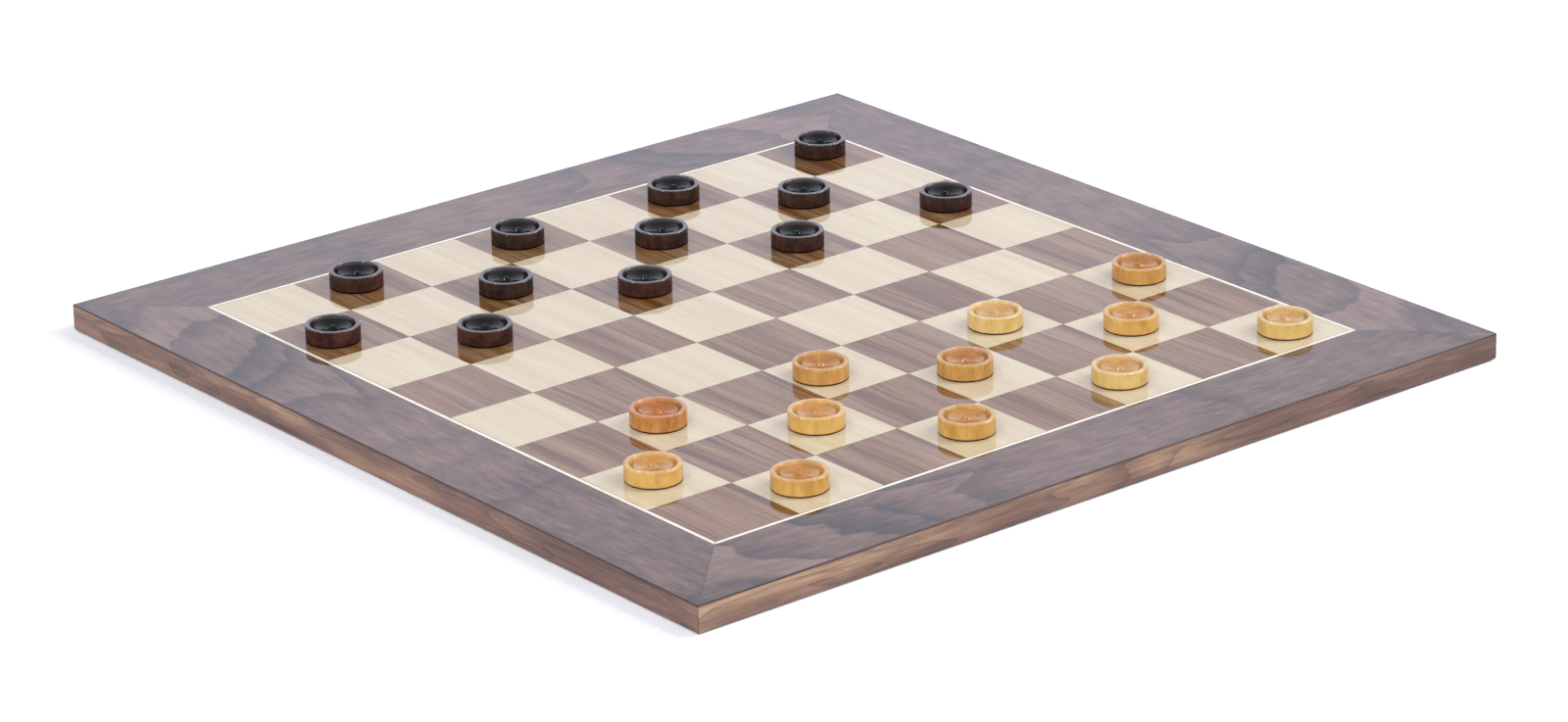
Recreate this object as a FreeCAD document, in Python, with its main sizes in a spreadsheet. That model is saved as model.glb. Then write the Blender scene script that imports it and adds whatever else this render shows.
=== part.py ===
import FreeCAD, Part
import math
import os
import Sketcher

# A draughts board with its twenty-four draughtsmen, set out for the start of a game.
#
# The frame: origin at the centre of the board's underside, +Z up. File a is at -X and file h
# at +X; rank 1, the light player's, is at -Y and rank 8 at +Y. Every length is in millimetres.
# The board is a core panel lipped with solid walnut, veneered on both faces: a walnut and
# maple checker inside a maple line, and a mitred walnut border. The men stand on it loose.

FILES = "abcdefgh"
RANKS = range(1, 9)
SIDES = ("front", "right", "back", "left")

DRIVING_SIZES = {
    "square": 50.0,            # side of one square of the checker
    "border_width": 49.0,      # from the checker's outline to the board's edge
    "line_width": 2.2,         # maple stringing, centred on the checker's outline
    "veneer": 0.6,             # thickness of every veneer, on both faces
    "panel": 12.8,             # thickness of the core panel
    "lipping": 6.0,            # width of the solid edging round the core
    "arris": 0.3,              # rounding of the board's top edge
    "foot_round": 1.6,         # rounding of the board's bottom edge
    "man_radius": 13.6,
    "man_height": 8.5,
    "rim_radius": 11.4,        # inside of a man's raised rim
    "wall_foot_radius": 10.7,  # foot of the steep wall inside the rim
    "groove_radius": 9.9,      # inner side of the groove at the wall's foot
    "groove_depth": 2.0,
    "bead_radius": 9.1,        # ring that stands up between the groove and the bowl
    "bead_depth": 1.1,
    "bowl_depth": 2.5,         # lowest part of the bowl, at the button's foot
    "button_foot": 2.9,
    "button_top": 1.2,
    "button_depth": 1.1,       # the button's top, below the rim
    "man_round": 0.5,          # rounding of a man's outer edges
    "rim_round": 0.4,          # rounding of the rim's inner edges and of the bead
    "button_round": 1.4,       # rounding of the button, top and foot
}

# How far each man stands from the middle of its square, towards file h and towards rank 8.
# They are set down by hand, so hardly any stands in the middle. The light men are on maple
# squares and the dark men on walnut ones.
LIGHT_MEN = {
    "b1": (-5, 0), "d1": (-3, 1), "f1": (-6, 1), "h1": (-1, -4),
    "a2": (1, 2), "c2": (-1, 3), "e2": (-4, 8), "g2": (-3, 0),
    "b3": (-5, 4), "d3": (-9, 0), "f3": (-1, -4), "h3": (-2, -1),
}
DARK_MEN = {
    "b8": (-2, 2), "d8": (-3, -1), "f8": (-2, -2), "h8": (2, 3),
    "a7": (-5, -3), "c7": (-1, -5), "e7": (2, 0), "g7": (-4, -1),
    "b6": (1, -2), "d6": (2, 0), "f6": (1, 0), "h6": (-3, -5),
}

CHECKER_HALF = "4 * Sizes.square"
BOARD_HALF = CHECKER_HALF + " + Sizes.border_width"
LINE_INNER = CHECKER_HALF + " - Sizes.line_width / 2"
LINE_OUTER = CHECKER_HALF + " + Sizes.line_width / 2"
CORE_HALF = BOARD_HALF + " - Sizes.lipping"
PANEL_TOP = "Sizes.veneer + Sizes.panel"
BOARD_TOP = PANEL_TOP + " + Sizes.veneer"

doc = FreeCAD.newDocument("draughts_board")
pieces = []


def fill_sheet():
    """Put the driving sizes and the men's places in the document's sheet."""
    sheet = doc.addObject("Spreadsheet::Sheet", "Sizes")
    cells = dict(DRIVING_SIZES)
    for name, (east, north) in {**LIGHT_MEN, **DARK_MEN}.items():
        cells["east_" + name] = east
        cells["north_" + name] = north
    for row, (alias, value) in enumerate(cells.items(), start=1):
        sheet.set("A%d" % row, alias)
        sheet.set("B%d" % row, str(value))
        sheet.setAlias("B%d" % row, alias)
    doc.recompute()
    return sheet


sheet = fill_sheet()


def size(expression):
    """The value of an expression of the sheet's sizes, in plain millimetres."""
    value = sheet.evalExpression(expression)
    return float(getattr(value, "Value", value))


def new_body(name):
    """An empty body whose label names its node."""
    body = doc.addObject("PartDesign::Body", name)
    body.Label = name
    pieces.append(body)
    return body


def origin_plane(body, role):
    """One of a body's own origin planes, such as XY_Plane."""
    return next(item for item in body.Origin.OriginFeatures if item.Role == role)


def pin_corner(sketch, line, coordinate, expression):
    """Hold a line's first end at a signed distance from the sketch's origin."""
    value = size(expression)
    axis = {"DistanceX": -2, "DistanceY": -1}[coordinate]
    if abs(value) < 1e-9:
        sketch.addConstraint(Sketcher.Constraint("PointOnObject", line, 1, axis))
        return
    if value > 0:
        constraint = Sketcher.Constraint(coordinate, -1, 1, line, 1, value)
    else:
        constraint = Sketcher.Constraint(coordinate, line, 1, -1, 1, -value)
        expression = "-(%s)" % expression
    index = sketch.addConstraint(constraint)
    sketch.setExpression("Constraints[%d]" % index, expression)


def outline_sketch(body, role, corners):
    """A closed outline of straight lines; each corner is a pair of expressions."""
    sketch = body.newObject("Sketcher::SketchObject", body.Name + "_outline")
    sketch.AttachmentSupport = [(origin_plane(body, role), "")]
    sketch.MapMode = "FlatFace"
    points = [FreeCAD.Vector(size(across), size(up), 0) for across, up in corners]
    for start, end in zip(points, points[1:] + points[:1]):
        sketch.addGeometry(Part.LineSegment(start, end))
    for line in range(len(points)):
        following = (line + 1) % len(points)
        sketch.addConstraint(Sketcher.Constraint("Coincident", line, 2, following, 1))
    for line, (across, up) in enumerate(corners):
        pin_corner(sketch, line, "DistanceX", across)
        pin_corner(sketch, line, "DistanceY", up)
    return sketch


def pad(body, sketch, thickness):
    """Raise a plan outline by a thickness."""
    feature = body.newObject("PartDesign::Pad", body.Name + "_pad")
    feature.Profile = sketch
    feature.setExpression("Length", thickness)
    sketch.Visibility = False
    doc.recompute()
    return feature


def edges_where(shape, test):
    """Names of a shape's edges whose every sampled point passes a test."""
    names = []
    for number, edge in enumerate(shape.Edges, start=1):
        if all(test(point) for point in edge.discretize(5)):
            names.append("Edge%d" % number)
    return names


def round_edges(body, base, label, radius, test):
    """Fillet the edges of a feature that pass a test."""
    fillet = body.newObject("PartDesign::Fillet", body.Name + "_" + label)
    fillet.Base = (base, edges_where(base.Shape, test))
    fillet.setExpression("Radius", radius)
    doc.recompute()
    return fillet


def square_plate(name, half_side, thickness, height):
    """A square plate, centred, whose underside is at a height."""
    body = new_body(name)
    minus = "-(%s)" % half_side
    corners = [(minus, minus), (half_side, minus), (half_side, half_side), (minus, half_side)]
    pad(body, outline_sketch(body, "XY_Plane", corners), thickness)
    body.setExpression("Placement.Base.z", height)
    return body


def mitred_strips(kind, inner, outer, thickness, height, rounding=None):
    """Four strips round the board, mitred where they meet, one on each side.

    rounding is (radius, level): the outer edge at that level is rounded.
    """
    for turn, side in enumerate(SIDES):
        body = new_body(kind + "_" + side)
        near = "-(%s)" % outer
        far = "-(%s)" % inner
        corners = [(near, near), (outer, near), (inner, far), (far, far)]
        solid = pad(body, outline_sketch(body, "XY_Plane", corners), thickness)
        if rounding:
            radius, level = rounding
            edge_y = size(near)
            edge_z = size(level)

            def on_outer_edge(point):
                return abs(point.y - edge_y) < 1e-4 and abs(point.z - edge_z) < 1e-4

            round_edges(body, solid, "rounded", radius, on_outer_edge)
        quarter_turn = FreeCAD.Rotation(FreeCAD.Vector(0, 0, 1), 90 * turn)
        body.Placement = FreeCAD.Placement(FreeCAD.Vector(0, 0, 0), quarter_turn)
        body.setExpression("Placement.Base.z", height)


def edge_of_square(number):
    """Where the line before square number 0..8 lies; the outermost are cut back by the line."""
    if number == 0:
        return "-(%s)" % LINE_INNER
    if number == len(FILES):
        return LINE_INNER
    return "%d * Sizes.square" % (number - len(FILES) // 2)


def veneer_square(name, column, row):
    """One square of veneer."""
    west, east = edge_of_square(column), edge_of_square(column + 1)
    south, north = edge_of_square(row), edge_of_square(row + 1)
    box = doc.addObject("Part::Box", name)
    box.setExpression("Length", "(%s) - (%s)" % (east, west))
    box.setExpression("Width", "(%s) - (%s)" % (north, south))
    box.setExpression("Height", "Sizes.veneer")
    box.setExpression("Placement.Base.x", west)
    box.setExpression("Placement.Base.y", south)
    box.setExpression("Placement.Base.z", PANEL_TOP)
    return box


def checker_squares():
    """Each rank's four squares of each wood, which were cut together from one strip."""
    for rank in RANKS:
        row = rank - 1
        for wood, parity in (("walnut", 0), ("maple", 1)):
            columns = [column for column in range(len(FILES)) if (column + row) % 2 == parity]
            squares = [
                veneer_square("%s_%s%d" % (wood, FILES[column], rank), column, row)
                for column in columns
            ]
            strip = doc.addObject("Part::MultiFuse", "%s_squares_rank_%d" % (wood, rank))
            strip.Label = strip.Name
            strip.Shapes = squares
            pieces.append(strip)


def man_profile():
    """Half of a man's section, from the axis out: the same dish and button on both faces."""
    dish = [
        ("0", "Sizes.button_depth"),
        ("Sizes.button_top", "Sizes.button_depth"),
        ("Sizes.button_foot", "Sizes.bowl_depth"),
        ("Sizes.bead_radius", "Sizes.bead_depth"),
        ("Sizes.groove_radius", "Sizes.groove_depth"),
        ("Sizes.wall_foot_radius", "Sizes.groove_depth"),
        ("Sizes.rim_radius", "0"),
        ("Sizes.man_radius", "0"),
    ]
    upper = [(radius, "Sizes.man_height - (%s)" % depth) for radius, depth in reversed(dish)]
    return dish + upper


def draughtsman(wood, place, column, row):
    """One turned man, standing on its square."""
    body = new_body("%s_man_%s" % (wood, place))
    sketch = outline_sketch(body, "XZ_Plane", man_profile())
    turned = body.newObject("PartDesign::Revolution", body.Name + "_turned")
    turned.Profile = sketch
    turned.ReferenceAxis = (sketch, ["V_Axis"])
    turned.Angle = 360
    sketch.Visibility = False
    doc.recompute()

    def circles(*radii):
        """A test for points on the round edges of the section's corners at these radii."""
        wanted = [size(radius) for radius in radii]
        return lambda point: any(abs(math.hypot(point.x, point.y) - one) < 1e-3 for one in wanted)

    rounded = round_edges(body, turned, "outer_rounds", "Sizes.man_round", circles("Sizes.man_radius"))
    rounded = round_edges(body, rounded, "inner_rounds", "Sizes.rim_round",
                          circles("Sizes.rim_radius", "Sizes.bead_radius"))
    round_edges(body, rounded, "button_rounds", "Sizes.button_round",
                circles("Sizes.button_top", "Sizes.button_foot"))
    middle = (len(FILES) - 1) / 2
    body.setExpression("Placement.Base.x", "Sizes.square * %g + Sizes.east_%s" % (column - middle, place))
    body.setExpression("Placement.Base.y", "Sizes.square * %g + Sizes.north_%s" % (row - middle, place))
    body.setExpression("Placement.Base.z", BOARD_TOP)


def set_out_men():
    """Every man on the square that its name gives."""
    for wood, men in (("light", LIGHT_MEN), ("dark", DARK_MEN)):
        for place in men:
            draughtsman(wood, place, FILES.index(place[0]), int(place[1]) - 1)


def check_model():
    """Stop if any object failed, or any piece isn't a valid, filled shape."""
    doc.recompute()
    for item in doc.Objects:
        if "Invalid" in item.State or "Error" in item.State:
            raise RuntimeError("%s: %s" % (item.Name, item.State))
    for piece in pieces:
        shape = piece.Shape
        if shape.isNull() or not shape.isValid() or shape.Volume <= 0:
            raise RuntimeError("%s has no valid solid" % piece.Label)


def write_pieces():
    """One STEP file for each piece, named for its node."""
    os.makedirs("parts", exist_ok=True)
    for piece in pieces:
        piece.Shape.exportStep("parts/%s.step" % piece.Label)


square_plate("backing_veneer", CORE_HALF, "Sizes.veneer", "0")
square_plate("core_panel", CORE_HALF, "Sizes.panel", "Sizes.veneer")
mitred_strips("edge_band", CORE_HALF, BOARD_HALF, PANEL_TOP, "0", ("Sizes.foot_round", "0"))
mitred_strips("border_veneer", LINE_OUTER, BOARD_HALF, "Sizes.veneer", PANEL_TOP,
              ("Sizes.arris", "Sizes.veneer"))
mitred_strips("stringing", LINE_INNER, LINE_OUTER, "Sizes.veneer", PANEL_TOP)
checker_squares()
set_out_men()
check_model()
write_pieces()
print("%d pieces, %.0f mm square, %.1f mm thick" % (len(pieces), 2 * size(BOARD_HALF), size(BOARD_TOP)))
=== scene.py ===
import math

import bpy
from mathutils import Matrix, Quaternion, Vector


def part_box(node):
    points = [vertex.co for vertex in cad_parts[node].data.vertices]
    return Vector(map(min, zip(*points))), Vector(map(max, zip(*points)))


# A veneered draughts board and its twenty-four turned men, standing on a white studio floor.
#
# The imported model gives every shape. This script gives each piece its wood and lacquer, and
# sets up the floor, the light and the camera. Lengths are in metres, +Z is up, file a is at
# -X, rank 1 is at -Y, and the origin is at the middle of the board's underside.
#
# A wood's pattern is made of noise, whose fineness is given per metre along X, Y and Z.
# Its seeds only choose which part of the endless noise is used.

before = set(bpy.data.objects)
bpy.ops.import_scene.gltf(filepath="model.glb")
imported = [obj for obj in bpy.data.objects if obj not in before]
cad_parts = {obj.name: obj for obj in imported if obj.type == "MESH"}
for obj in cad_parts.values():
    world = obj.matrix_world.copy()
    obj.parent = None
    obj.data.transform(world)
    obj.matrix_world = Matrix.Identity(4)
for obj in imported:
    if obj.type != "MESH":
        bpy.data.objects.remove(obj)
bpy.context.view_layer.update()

MM = 0.001
SIDES = ("front", "right", "back", "left")
SQUARE = 50 * MM
# Turns a place in metres into squares.
PER_SQUARE = (1 / SQUARE, 1 / SQUARE, 0.0)

BOARD_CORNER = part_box("border_veneer_front")[1]
BOARD_HALF = BOARD_CORNER.x
BOARD_TOP = BOARD_CORNER.z
CHECKER_HALF = 4 * SQUARE
STRINGING_HALF_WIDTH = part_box("stringing_back")[1].y - CHECKER_HALF
MAN_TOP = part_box("light_man_a2")[1].z

# How far a dark joint fades to each side of its middle.
GLUE_LINE = 0.5 * MM
KNIFE_LINE = 0.3 * MM

# A border leaf's length, and how far each side's leaf is shifted from the front one, in
# squares. Growth runs from 0 to 1 over that length.
LEAF_LENGTH = 10
LEAF_SHIFTS = (0.0, 0.45, 0.40, 0.25)

# The dark lines of a border leaf: the growth at which each starts, and its depth.
GROWTH_LINES = (
    (0.090, 0.6), (0.178, 1.0), (0.225, 0.9), (0.315, 0.7),
    (0.470, 0.3), (0.545, 0.35), (0.650, 0.6), (0.930, 0.5),
)

# A growth line's depth at growths before and after its start: it starts sharply and fades.
GROWTH_LINE_PROFILE = ((-0.004, 0.0), (0.0, 1.0), (0.008, 0.5), (0.035, 0.0))

# The tone of a border leaf, from 0 for dark to 1 for pale, at growths along it.
LEAF_ZONES = (
    (0.00, 0.35), (0.03, 0.75), (0.085, 0.80), (0.095, 0.50), (0.17, 0.55), (0.19, 0.30),
    (0.23, 0.45), (0.31, 0.68), (0.33, 0.40), (0.44, 0.65), (0.55, 0.65), (0.62, 0.45),
    (0.66, 0.50), (0.88, 0.50), (0.94, 0.30), (0.97, 0.75),
)

# How much paler each side's edging is at its first corner.
EDGING_PALENESS = (0.17, 0.12, 0.12, 0.11)

# The light men's woods: a name, its dark, middle and pale tones, the depth of its flecks,
# and the squares of the men that are made of it.
LIGHT_WOODS = (
    ("pale_boxwood", ((0.42, 0.25, 0.078), (0.50, 0.33, 0.100), (0.56, 0.39, 0.14)),
     0.12, ("f1", "f3", "h1")),
    ("honey_boxwood", ((0.37, 0.185, 0.040), (0.46, 0.252, 0.060), (0.53, 0.32, 0.090)),
     0.12, ("b1", "d1", "a2", "c2", "g2")),
    ("amber_boxwood", ((0.34, 0.160, 0.036), (0.43, 0.220, 0.054), (0.51, 0.29, 0.080)),
     0.12, ("e2", "d3", "h3")),
    ("red_boxwood", ((0.25, 0.085, 0.020), (0.37, 0.142, 0.032), (0.46, 0.20, 0.05)),
     0.28, ("b3",)),
)


def fill_ramp(node, stops):
    """Give a colour ramp node a row of (position, colour) stops."""
    elements = node.color_ramp.elements
    elements.remove(elements[1])
    elements[0].position = stops[0][0]
    elements[0].color = (*stops[0][1], 1.0)
    for position, colour in stops[1:]:
        elements.new(position).color = (*colour, 1.0)


class Wood:
    """A wood's node tree: a Principled shader, and short calls that add the nodes before it."""

    def __init__(self, name):
        self.material = bpy.data.materials.new(name)
        self.material.use_nodes = True
        self.tree = self.material.node_tree
        self.tree.nodes.clear()
        self.shader = self.node("ShaderNodeBsdfPrincipled")
        output = self.node("ShaderNodeOutputMaterial")
        self.link(self.shader.outputs["BSDF"], output.inputs["Surface"])
        self.place = self.node("ShaderNodeTexCoord").outputs["Object"]

    def node(self, kind):
        return self.tree.nodes.new(kind)

    def link(self, source, socket):
        self.tree.links.new(source, socket)

    def feed(self, socket, value):
        """Link a socket, or set it if the value is a plain one."""
        if isinstance(value, bpy.types.NodeSocket):
            self.link(value, socket)
        else:
            socket.default_value = value

    def math(self, operation, first, second=0.0, clamp=False):
        """An operation on one or two numbers, its result held from 0 to 1 if clamp is set."""
        node = self.node("ShaderNodeMath")
        node.operation = operation
        node.use_clamp = clamp
        self.feed(node.inputs[0], first)
        self.feed(node.inputs[1], second)
        return node.outputs[0]

    def vector(self, operation, first, second=(0.0, 0.0, 0.0)):
        """An operation on one or two vectors, axis by axis."""
        node = self.node("ShaderNodeVectorMath")
        node.operation = operation
        self.feed(node.inputs[0], first)
        self.feed(node.inputs[1], second)
        return node.outputs["Vector"]

    def axes(self, vector):
        """A vector's three components."""
        node = self.node("ShaderNodeSeparateXYZ")
        self.link(vector, node.inputs[0])
        return node.outputs

    def turned(self, vector, angle, shift=(0.0, 0.0, 0.0)):
        """A place turned about the vertical by an angle in radians, then shifted."""
        node = self.node("ShaderNodeMapping")
        self.link(vector, node.inputs["Vector"])
        node.inputs["Rotation"].default_value = (0.0, 0.0, angle)
        node.inputs["Location"].default_value = shift
        return node.outputs["Vector"]

    def noise(self, place, per_metre, detail=2.0, roughness=0.5, seed=0.0):
        """Noise from 0 to 1 with its own fineness along each axis; seed slides it elsewhere."""
        scaled = self.vector("MULTIPLY", place, per_metre)
        moved = self.vector("ADD", scaled, (seed, 2.3 * seed, 3.1 * seed))
        node = self.node("ShaderNodeTexNoise")
        self.link(moved, node.inputs["Vector"])
        node.inputs["Scale"].default_value = 1.0
        node.inputs["Detail"].default_value = detail
        node.inputs["Roughness"].default_value = roughness
        return node.outputs["Fac"]

    def step(self, value, start, end, before=0.0, after=1.0):
        """A smooth change from before to after as the value goes from start to end."""
        node = self.node("ShaderNodeMapRange")
        node.interpolation_type = "SMOOTHSTEP"
        self.feed(node.inputs["Value"], value)
        node.inputs["From Min"].default_value = start
        node.inputs["From Max"].default_value = end
        node.inputs["To Min"].default_value = before
        node.inputs["To Max"].default_value = after
        return node.outputs["Result"]

    def vary(self, value, *layers):
        """A value moved both ways by layers, each a noise from 0 to 1 and an amount."""
        for noise, amount in layers:
            swing = self.math("MULTIPLY", self.math("SUBTRACT", noise, 0.5), amount)
            value = self.math("ADD", value, swing)
        return value

    def ramp(self, value, stops):
        """A colour read from a row of (position, colour) stops."""
        node = self.node("ShaderNodeValToRGB")
        self.link(value, node.inputs["Fac"])
        fill_ramp(node, stops)
        return node.outputs["Color"]

    def mix(self, share, first, second, blend="MIX"):
        """The first colour blended towards the second by a share from 0 to 1."""
        node = self.node("ShaderNodeMix")
        node.data_type = "RGBA"
        node.blend_type = blend
        self.feed(node.inputs["Factor"], share)
        for socket, value in ((node.inputs[6], first), (node.inputs[7], second)):
            linked = isinstance(value, bpy.types.NodeSocket)
            self.feed(socket, value if linked else (*value, 1.0))
        return node.outputs[2]

    def darken(self, colour, layer, depth):
        """A colour multiplied down where a layer is 1, by a depth from 0 to 1."""
        node = self.node("ShaderNodeVectorMath")
        node.operation = "SCALE"
        self.link(colour, node.inputs[0])
        loss = self.math("MULTIPLY", layer, depth)
        self.link(self.math("SUBTRACT", 1.0, loss), node.inputs["Scale"])
        return node.outputs["Vector"]

    def bump(self, height, depth):
        """Relief under the lacquer, with its depth in metres."""
        node = self.node("ShaderNodeBump")
        node.inputs["Distance"].default_value = depth
        self.link(height, node.inputs["Height"])
        self.link(node.outputs["Normal"], self.shader.inputs["Normal"])

    def finish(self, colour, roughness, specular, coat=0.0, coat_roughness=0.03, coat_ior=1.5):
        """Set the colour, the gloss and how much lacquer there is, and give the material."""
        self.feed(self.shader.inputs["Base Color"], colour)
        self.feed(self.shader.inputs["Roughness"], roughness)
        self.shader.inputs["Specular IOR Level"].default_value = specular
        self.feed(self.shader.inputs["Coat Weight"], coat)
        self.shader.inputs["Coat Roughness"].default_value = coat_roughness
        self.shader.inputs["Coat IOR"].default_value = coat_ior
        return self.material

    def lacquer(self, colour, coat_ior=1.5):
        """The board's high-gloss lacquer over the whole surface."""
        return self.finish(colour, roughness=0.45, specular=0.0, coat=1.0, coat_ior=coat_ior)


def grain_layers(wood, place, seed):
    """Streaks, fine fibres and open pores along X of a place, each from 0 to 1."""
    streaks = wood.noise(place, (5.0, 110.0, 40.0), detail=4.0, roughness=0.6, seed=seed)
    fibres = wood.noise(place, (22.0, 900.0, 200.0), detail=3.0, roughness=0.7, seed=seed + 7.0)
    pore_noise = wood.noise(place, (160.0, 2600.0, 600.0), detail=1.0, seed=seed + 13.0)
    pores = wood.step(pore_noise, 0.62, 0.74)
    return streaks, fibres, pores


def strip_place(wood, turn):
    """A place along one side's strip: X from its first corner, Y in from the board's edge."""
    return wood.turned(wood.place, -turn * math.pi / 2, (BOARD_HALF, BOARD_HALF, 0.0))


def border_walnut(turn):
    """Figured walnut veneer; the four strips are consecutive leaves, so their figure repeats."""
    wood = Wood("walnut_border_" + SIDES[turn])
    place = strip_place(wood, turn)
    growth = leaf_growth(wood, place, turn)
    streaks, fibres, pores = grain_layers(wood, place, seed=4.0)
    clouds = wood.noise(place, (40.0, 60.0, 0.0), detail=4.0, roughness=0.6, seed=21.0)
    flecks = wood.noise(place, (70.0, 380.0, 0.0), detail=3.0, roughness=0.6, seed=26.0)
    tone = wood.ramp(growth, [(position, (level,) * 3) for position, level in LEAF_ZONES])
    tone = wood.vary(tone, (clouds, 0.7), (streaks, 0.4), (flecks, 1.1), (fibres, 0.5))
    colour = wood.ramp(tone, [
        (0.10, (0.024, 0.014, 0.011)),
        (0.40, (0.070, 0.041, 0.034)),
        (0.60, (0.105, 0.060, 0.044)),
        (0.95, (0.160, 0.102, 0.080)),
    ])
    line_colour = (0.006, 0.005, 0.006)
    top_edge_colour = (0.030, 0.008, 0.006)
    colour = wood.mix(growth_lines(wood, growth), colour, line_colour)
    colour = wood.darken(colour, pores, depth=0.5)
    colour = wood.mix(dark_top_edge(wood), colour, top_edge_colour)
    colour = with_glue_line(wood, colour)
    colour = with_mitre_line(wood, colour)
    wood.bump(wood.math("SUBTRACT", fibres, pores), 0.02 * MM)
    return wood.lacquer(colour)


def leaf_growth(wood, place, turn):
    """A leaf's growth, whose lines slant across the strip with a tongue in each.

    Lengths are in squares, along the strip and across it from the board's edge.
    """
    along, across, _height = wood.axes(wood.vector("MULTIPLY", place, PER_SQUARE))
    along = wood.math("SUBTRACT", along, LEAF_SHIFTS[turn])

    # Each line has a tongue that points along the strip. The tongues grow longer as the leaf
    # goes on, and then die out.
    tongue_start = 0.45
    tongue_tip = 0.70
    tongue_end = 0.86
    far_slope = 1.6
    rise = wood.math("SUBTRACT", across, tongue_start, clamp=True)
    fall = wood.math("MULTIPLY", wood.math("SUBTRACT", tongue_end, across), far_slope)
    tongue = wood.math("MINIMUM", rise, fall)
    lengthening = wood.step(along, 1.4, 3.9, before=0.3, after=2.8)
    fading = wood.step(along, 4.0, 6.2, before=1.0, after=0.0)
    reach = wood.math("MULTIPLY", lengthening, fading)

    # From the tips out to the board's edge the lines lean along the strip.
    slant = wood.math("SUBTRACT", tongue_tip, across, clamp=True)
    lean = wood.step(along, 2.4, 3.6, before=0.95, after=0.35)

    growth = wood.math("SUBTRACT", along, wood.math("MULTIPLY", tongue, reach))
    growth = wood.math("SUBTRACT", growth, wood.math("MULTIPLY", slant, lean))
    bend = wood.noise(place, (16.0, 40.0, 0.0), seed=8.1)
    ripple = wood.noise(place, (90.0, 130.0, 0.0), seed=14.1)
    growth = wood.vary(growth, (bend, 0.8), (ripple, 0.18))
    return wood.math("MULTIPLY", growth, 1 / LEAF_LENGTH)


def growth_lines(wood, growth):
    """The dark lines across a leaf, from 0 between them to each line's depth."""
    stops = []
    for start, depth in GROWTH_LINES:
        for after, share in GROWTH_LINE_PROFILE:
            stops.append((start + after, (share * depth,) * 3))
    return wood.ramp(growth, stops)


def outermost(wood):
    """How far a point lies from the board's middle, along X or Y, whichever is more."""
    x, y, _z = wood.axes(wood.vector("ABSOLUTE", wood.place))
    return wood.math("MAXIMUM", x, y)


def dark_top_edge(wood):
    """1 on the top edge, where the veneer is drawn darker."""
    return wood.step(outermost(wood), BOARD_HALF - 1.1 * MM, BOARD_HALF - 0.4 * MM)


def with_mitre_line(wood, colour):
    """A colour darkened along the thin joint where two strips meet on a diagonal."""
    x, y, _z = wood.axes(wood.vector("ABSOLUTE", wood.place))
    away = wood.math("ABSOLUTE", wood.math("SUBTRACT", x, y))
    line = wood.step(away, 0.0, GLUE_LINE, before=1.0, after=0.0)
    return wood.darken(colour, line, depth=0.75)


def with_glue_line(wood, colour):
    """A colour darkened along the thin joints against the stringing, outside and inside it."""
    off_middle = wood.math("ABSOLUTE", wood.math("SUBTRACT", outermost(wood), CHECKER_HALF))
    away = wood.math("ABSOLUTE", wood.math("SUBTRACT", off_middle, STRINGING_HALF_WIDTH))
    line = wood.step(away, 0.0, GLUE_LINE, before=1.0, after=0.0)
    return wood.darken(colour, line, depth=0.7)


def own_square(wood):
    """A colour and a number of its own, each part from 0 to 1, for the square a point is on."""
    noise = wood.node("ShaderNodeTexWhiteNoise")
    noise.noise_dimensions = "3D"
    cell = wood.vector("FLOOR", wood.vector("MULTIPLY", wood.place, PER_SQUARE))
    wood.link(cell, noise.inputs["Vector"])
    return noise.outputs["Color"], noise.outputs["Value"]


def with_knife_line(wood, colour):
    """A colour darkened along the thin joint round each square."""
    within = wood.vector("FRACTION", wood.vector("MULTIPLY", wood.place, PER_SQUARE))
    off_middle = wood.vector("ABSOLUTE", wood.vector("SUBTRACT", within, (0.5, 0.5, 0.0)))
    x, y, _z = wood.axes(off_middle)
    squares_away = wood.math("SUBTRACT", 0.5, wood.math("MAXIMUM", x, y))
    away = wood.math("MULTIPLY", squares_away, SQUARE)
    line = wood.step(away, 0.0, KNIFE_LINE, before=1.0, after=0.0)
    return wood.darken(colour, line, depth=0.55)


def checker_veneer(name, stops, vein, vein_share, fibre_depth, pore_depth):
    """Veneer squares: wavy grain from rank to rank, each square with its own piece of it.

    The stops are the streaks' colours, and vein is the colour of the darker lines among them.
    """
    wood = Wood(name)
    own_colour, own_value = own_square(wood)
    offset = wood.vector("MULTIPLY", own_colour, (3.0, 3.0, 0.0))
    place = wood.turned(wood.vector("ADD", wood.place, offset), math.pi / 2)
    wave = wood.noise(place, (16.0, 30.0, 0.0), seed=41.0)
    place = wood.vector("ADD", place, wood.vector("MULTIPLY", wave, (0.0, 7 * MM, 0.0)))
    streaks, fibres, pores = grain_layers(wood, place, seed=2.0)
    broad_veins = wood.step(wood.noise(place, (4.0, 120.0, 0.0), seed=31.0), 0.56, 0.68)
    thin_veins = wood.step(wood.noise(place, (7.0, 330.0, 0.0), seed=35.0), 0.56, 0.68)
    veins = wood.math("MAXIMUM", broad_veins, wood.math("MULTIPLY", thin_veins, 0.8))
    colour = wood.ramp(wood.vary(streaks, (own_value, 0.05)), stops)
    colour = wood.mix(wood.math("MULTIPLY", veins, vein_share), colour, vein)
    colour = wood.darken(colour, wood.step(fibres, 0.35, 0.75), fibre_depth)
    colour = wood.darken(colour, pores, pore_depth)
    colour = with_knife_line(wood, colour)
    colour = with_glue_line(wood, colour)
    wood.bump(wood.math("SUBTRACT", fibres, pores), 0.02 * MM)
    return wood.lacquer(colour, coat_ior=1.6)


def walnut_squares():
    """Brown walnut with darker and greyer streaks."""
    stops = [
        (0.34, (0.094, 0.033, 0.003)),
        (0.46, (0.165, 0.079, 0.029)),
        (0.58, (0.199, 0.115, 0.060)),
        (0.70, (0.232, 0.144, 0.086)),
    ]
    return checker_veneer("walnut_squares", stops, vein=(0.058, 0.010, 0.001),
                          vein_share=0.75, fibre_depth=0.26, pore_depth=0.5)


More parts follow.
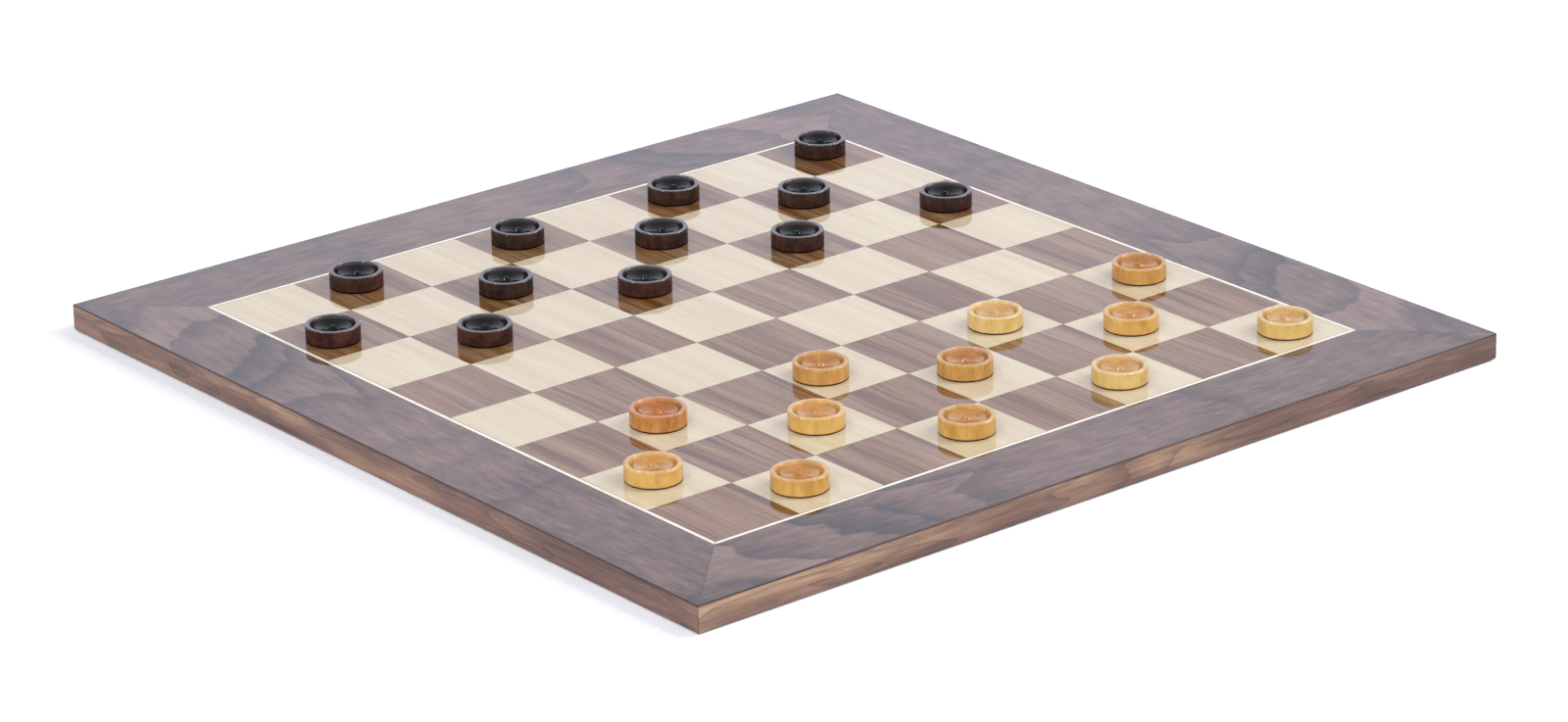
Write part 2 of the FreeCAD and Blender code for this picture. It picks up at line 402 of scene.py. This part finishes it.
def maple_squares():
    """Pale maple with a faint grain."""
    stops = [
        (0.30, (0.425, 0.350, 0.230)),
        (0.50, (0.463, 0.390, 0.266)),
        (0.70, (0.495, 0.428, 0.302)),
    ]
    return checker_veneer("maple_squares", stops, vein=(0.410, 0.330, 0.200),
                          vein_share=0.4, fibre_depth=0.07, pore_depth=0.06)


def maple_line():
    """The pale stringing."""
    wood = Wood("maple_line")
    fibres = wood.noise(wood.place, (300.0, 300.0, 0.0), seed=5.0)
    colour = wood.ramp(fibres, [(0.3, (0.60, 0.54, 0.42)), (0.7, (0.70, 0.65, 0.52))])
    colour = with_glue_line(wood, colour)
    colour = with_mitre_line(wood, colour)
    wood.bump(fibres, 0.01 * MM)
    return wood.lacquer(colour)


def edging_walnut(turn):
    """Solid walnut along one side: crown-cut figure, satin lacquer, paler at its first corner."""
    wood = Wood("walnut_edging_" + SIDES[turn])
    place = strip_place(wood, turn)
    along, _across, up = wood.axes(place)
    wander = wood.noise(place, (5.0, 0.0, 40.0), seed=5.3 + 2.0 * turn)
    clouds = wood.noise(place, (9.0, 20.0, 60.0), detail=3.0, roughness=0.6, seed=17.0 + turn)
    fibres = wood.noise(place, (30.0, 900.0, 1100.0), detail=3.0, roughness=0.7, seed=turn + 1.0)
    pore_noise = wood.noise(place, (140.0, 2500.0, 2500.0), detail=1.0, seed=turn + 9.0)
    pores = wood.step(pore_noise, 0.62, 0.74)
    rings = wood.math("ADD", wood.math("MULTIPLY", wander, 11.0), wood.math("MULTIPLY", along, 6.0))
    late_wood = wood.math("POWER", wood.math("FRACT", rings), 4.0)
    late_wood_colour = (0.055, 0.030, 0.026)
    paler = wood.step(along, 0.0, 0.38, before=EDGING_PALENESS[turn], after=-0.04)
    colour = wood.ramp(wood.math("ADD", clouds, paler), [
        (0.34, (0.098, 0.052, 0.039)),
        (0.50, (0.154, 0.087, 0.064)),
        (0.64, (0.252, 0.150, 0.100)),
        (0.76, (0.345, 0.215, 0.132)),
    ])
    colour = wood.mix(wood.math("MULTIPLY", late_wood, 0.5), colour, late_wood_colour)
    colour = wood.darken(colour, wood.step(fibres, 0.40, 0.70), depth=0.35)
    colour = wood.darken(colour, pores, depth=0.4)
    under_veneer = wood.step(up, BOARD_TOP - 1.2 * MM, BOARD_TOP - 0.7 * MM)
    colour = wood.darken(colour, under_veneer, depth=0.6)
    colour = with_mitre_line(wood, colour)
    wood.bump(wood.math("SUBTRACT", fibres, pores), 0.04 * MM)
    roughness = wood.step(fibres, 0.3, 0.8, before=0.35, after=0.5)
    return wood.finish(colour, roughness, specular=0.3)


def turned_wood(name, side, rim, bowl, fleck_depth, rim_side_polish, lower_polish):
    """Wood turned with its fibres upright: flecks down the side, end grain on rim and bowl.

    Side, rim and bowl are colour ramps. The rim's top has the full polish, and its upright
    edges and everything lower down have shares of it, except the foot, which has painted
    shade where it meets the board and no polish.
    """
    wood = Wood(name)
    own_colour, own_value = own_square(wood)
    place = wood.vector("ADD", wood.place, wood.vector("MULTIPLY", own_colour, (5.0, 5.0, 5.0)))
    streaks = wood.noise(place, (260.0, 260.0, 70.0), detail=4.0, roughness=0.65, seed=6.0)
    fibres = wood.noise(place, (1500.0, 1500.0, 260.0), roughness=0.6, seed=11.0)
    clouds = wood.noise(place, (120.0, 120.0, 80.0), detail=4.0, roughness=0.65, seed=15.0)
    tone = wood.math("MULTIPLY", wood.math("ADD", streaks, clouds), 0.5)
    tone = wood.vary(tone, (own_value, 0.12))

    _x, _y, normal_z = wood.axes(wood.node("ShaderNodeNewGeometry").outputs["Normal"])
    flatness = wood.math("ABSOLUTE", normal_z)
    end_grain = wood.step(flatness, 0.1, 0.5)
    _x, _y, height = wood.axes(wood.place)
    below_rim = wood.step(height, MAN_TOP - 0.9 * MM, MAN_TOP - 0.3 * MM, before=1.0, after=0.0)
    # Painted shade: the lowest millimetre of each man is darkened where it meets the board.
    painted_contact_shade = wood.step(height, BOARD_TOP + 0.7 * MM, BOARD_TOP + 1.0 * MM, before=1.0, after=0.0)

    # Below the rim, flat wood takes the bowl's darker colour, and upright wood takes half of it:
    # stronger staining in the end grain, and painted shade in the hollow.
    stain_and_shade = wood.step(flatness, 0.4, 0.8, before=0.5, after=1.0)
    contact_shade_colour = (0.17, 0.075, 0.045)
    colour = wood.mix(end_grain, wood.ramp(tone, side), wood.ramp(tone, rim))
    colour = wood.mix(wood.math("MULTIPLY", below_rim, stain_and_shade), colour, wood.ramp(tone, bowl))
    colour = wood.darken(colour, wood.step(fibres, 0.45, 0.70), fleck_depth)
    # Painted shade at the foot.
    colour = wood.mix(painted_contact_shade, colour, contact_shade_colour, blend="MULTIPLY")
    wood.bump(fibres, 0.03 * MM)

    on_rim = wood.step(below_rim, 0.0, 1.0, before=1.0, after=0.0)
    rim_polish = wood.step(end_grain, 0.0, 1.0, before=rim_side_polish, after=1.0)
    polish = wood.math("MULTIPLY", on_rim, rim_polish)
    polish = wood.math("ADD", polish, wood.step(below_rim, 0.0, 1.0, after=lower_polish))
    # The painted shade at the foot gets no lacquer, so nothing is reflected there.
    polish = wood.math("MULTIPLY", polish, wood.math("SUBTRACT", 1.0, painted_contact_shade))
    return wood.finish(colour, roughness=0.45, specular=0.0,
                       coat=polish, coat_roughness=0.08, coat_ior=1.7)


def tinted(tones, tint):
    """Three tones, each multiplied by a tint, as a ramp from dark to pale."""
    return [
        (position, tuple(part * share for part, share in zip(tone, tint)))
        for position, tone in zip((0.36, 0.50, 0.64), tones)
    ]


def boxwood(name, tones, fleck_depth):
    """Stained boxwood; the bowl is darker, by stronger staining and by painted shade in the hollow.
    """
    # The side is drawn paler than the rim: side grain against end grain, and painted light that
    # evens the upright side with the better-lit top.
    side = tinted(tones, (1.39, 1.53, 1.48))
    rim = tinted(tones, (0.92, 0.95, 1.22))
    # Painted shade, with stronger staining: the bowl is drawn darker than the rim.
    bowl = tinted(tones, (0.77, 0.66, 0.75))
    return turned_wood(name, side, rim, bowl, fleck_depth, rim_side_polish=0.5, lower_polish=0.5)


def dark_wood():
    """Ebonised wood: black in the end grain, reddish down the side; the bowl is far darker than the
    rim, by its dye and by painted shade in the hollow.
    """
    side = [
        (0.36, (0.018, 0.006, 0.004)),
        (0.50, (0.050, 0.014, 0.006)),
        (0.64, (0.116, 0.029, 0.009)),
    ]
    rim = [(0.30, (0.034, 0.030, 0.030)), (0.70, (0.060, 0.050, 0.046))]
    # Painted shade: the bowl is drawn far darker than the rim.
    bowl = [(0.30, (0.003, 0.003, 0.003)), (0.70, (0.008, 0.008, 0.009))]
    return turned_wood("ebonised_wood", side, rim, bowl,
                       fleck_depth=0.35, rim_side_polish=0.08, lower_polish=0.32)


def core_board():
    """The core's pressed fibre."""
    wood = Wood("core_board")
    fibres = wood.noise(wood.place, (900.0, 900.0, 2400.0), detail=3.0, seed=3.0)
    colour = wood.ramp(fibres, [(0.3, (0.24, 0.15, 0.08)), (0.7, (0.40, 0.27, 0.15))])
    wood.bump(fibres, 0.1 * MM)
    return wood.finish(colour, roughness=0.85, specular=0.3)


def backing_walnut():
    """Plain straight-grained veneer under the board, satin."""
    wood = Wood("backing_walnut")
    streaks, fibres, pores = grain_layers(wood, wood.place, seed=40.0)
    colour = wood.ramp(streaks, [(0.3, (0.07, 0.04, 0.03)), (0.7, (0.18, 0.10, 0.06))])
    colour = wood.darken(colour, wood.step(fibres, 0.35, 0.75), depth=0.3)
    colour = wood.darken(colour, pores, depth=0.4)
    wood.bump(wood.math("SUBTRACT", fibres, pores), 0.04 * MM)
    return wood.finish(colour, roughness=0.5, specular=0.4)


def give(material, *names):
    """Put a material on CAD nodes."""
    for name in names:
        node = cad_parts[name]
        if not node.material_slots:
            node.data.materials.append(material)
        for slot in node.material_slots:
            slot.material = material


def dress_board():
    """Give the board's core, veneers, stringing and edging their woods."""
    give(core_board(), "core_panel")
    give(backing_walnut(), "backing_veneer")
    for turn, side in enumerate(SIDES):
        give(border_walnut(turn), "border_veneer_" + side)
        give(edging_walnut(turn), "edge_band_" + side)
    give(maple_line(), *["stringing_" + side for side in SIDES])
    walnut = walnut_squares()
    maple = maple_squares()
    for rank in range(1, 9):
        give(walnut, "walnut_squares_rank_%d" % rank)
        give(maple, "maple_squares_rank_%d" % rank)


def dress_men():
    """Give the light men one of four boxwoods each, and the dark men the ebonised wood."""
    for name, tones, fleck_depth, squares in LIGHT_WOODS:
        give(boxwood(name, tones, fleck_depth), *["light_man_" + square for square in squares])
    give(dark_wood(), *[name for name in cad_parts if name.startswith("dark_man")])


def pale_floor():
    """A white floor, wide enough to fill the view from each side."""
    bpy.ops.mesh.primitive_plane_add(size=4.8, location=(0.0, 0.0, -0.2 * MM))
    floor = bpy.context.object
    floor.name = "floor"
    material = bpy.data.materials.new("floor")
    material.use_nodes = True
    shader = material.node_tree.nodes["Principled BSDF"]
    shader.inputs["Base Color"].default_value = (0.77, 0.775, 0.785, 1.0)
    shader.inputs["Roughness"].default_value = 0.9
    shader.inputs["Specular IOR Level"].default_value = 0.0
    floor.data.materials.append(material)


def direction(bearing, elevation):
    """Away from the board, from degrees; a bearing of 0 is towards -Y, and of 90 towards +X."""
    bearing = math.radians(bearing)
    elevation = math.radians(elevation)
    return Vector((
        math.sin(bearing) * math.cos(elevation),
        -math.cos(bearing) * math.cos(elevation),
        math.sin(elevation),
    ))


def studio_world():
    """A white room, brightest low down and dim overhead."""
    world = bpy.data.worlds.new("studio")
    bpy.context.scene.world = world
    world.use_nodes = True
    tree = world.node_tree
    place = tree.nodes.new("ShaderNodeTexCoord")
    axes = tree.nodes.new("ShaderNodeSeparateXYZ")
    sky = tree.nodes.new("ShaderNodeValToRGB")
    background = tree.nodes["Background"]
    tree.links.new(place.outputs["Generated"], axes.inputs[0])
    tree.links.new(axes.outputs["Z"], sky.inputs["Fac"])
    tree.links.new(sky.outputs["Color"], background.inputs["Color"])
    background.inputs["Strength"].default_value = 1.7
    # Colours by the sine of the elevation.
    fill_ramp(sky, [
        (0.26, (0.79, 0.81, 0.955)),
        (0.46, (0.521, 0.537, 0.638)),
        (0.75, (0.194, 0.194, 0.206)),
    ])


def soft_box(name, bearing, elevation, distance, size, power, mirrored=True):
    """A square area light aimed at the board, with its bearing and elevation in degrees."""
    data = bpy.data.lights.new(name, "AREA")
    data.shape = "SQUARE"
    data.size = size
    data.energy = power
    away = direction(bearing, elevation)
    light = bpy.data.objects.new(name, data)
    light.location = distance * away
    light.rotation_euler = away.to_track_quat("Z", "Y").to_euler()
    light.visible_glossy = mirrored
    bpy.context.collection.objects.link(light)


def studio_light():
    """Two large soft boxes, and two small ones whose images show on the men's buttons."""
    soft_box("key", bearing=60.0, elevation=38.0, distance=2.6, size=1.2, power=45.0)
    soft_box("fill", bearing=-55.0, elevation=32.0, distance=2.6, size=1.6, power=50.0,
             mirrored=False)
    for name, bearing in (("left_button_light", -132.0), ("right_button_light", 54.0)):
        soft_box(name, bearing, elevation=62.0, distance=2.0, size=0.22, power=7.0)


def camera():
    """A long lens from the light player's left, about 21 degrees above the board."""
    aim = Vector((-0.0341, -0.0474, BOARD_TOP))
    distance = 2.6469
    roll = math.radians(-0.894)
    away = direction(-39.229, 21.166)
    data = bpy.data.cameras.new("camera")
    data.lens = 125.96
    data.sensor_width = 36.0
    item = bpy.data.objects.new("camera", data)
    item.location = aim + distance * away
    item.rotation_mode = "QUATERNION"
    item.rotation_quaternion = away.to_track_quat("Z", "Y") @ Quaternion((0.0, 0.0, 1.0), roll)
    bpy.context.collection.objects.link(item)
    bpy.context.scene.camera = item
    bpy.context.scene.view_settings.view_transform = "Standard"


camera()
dress_board()
dress_men()
pale_floor()
studio_world()
studio_light()
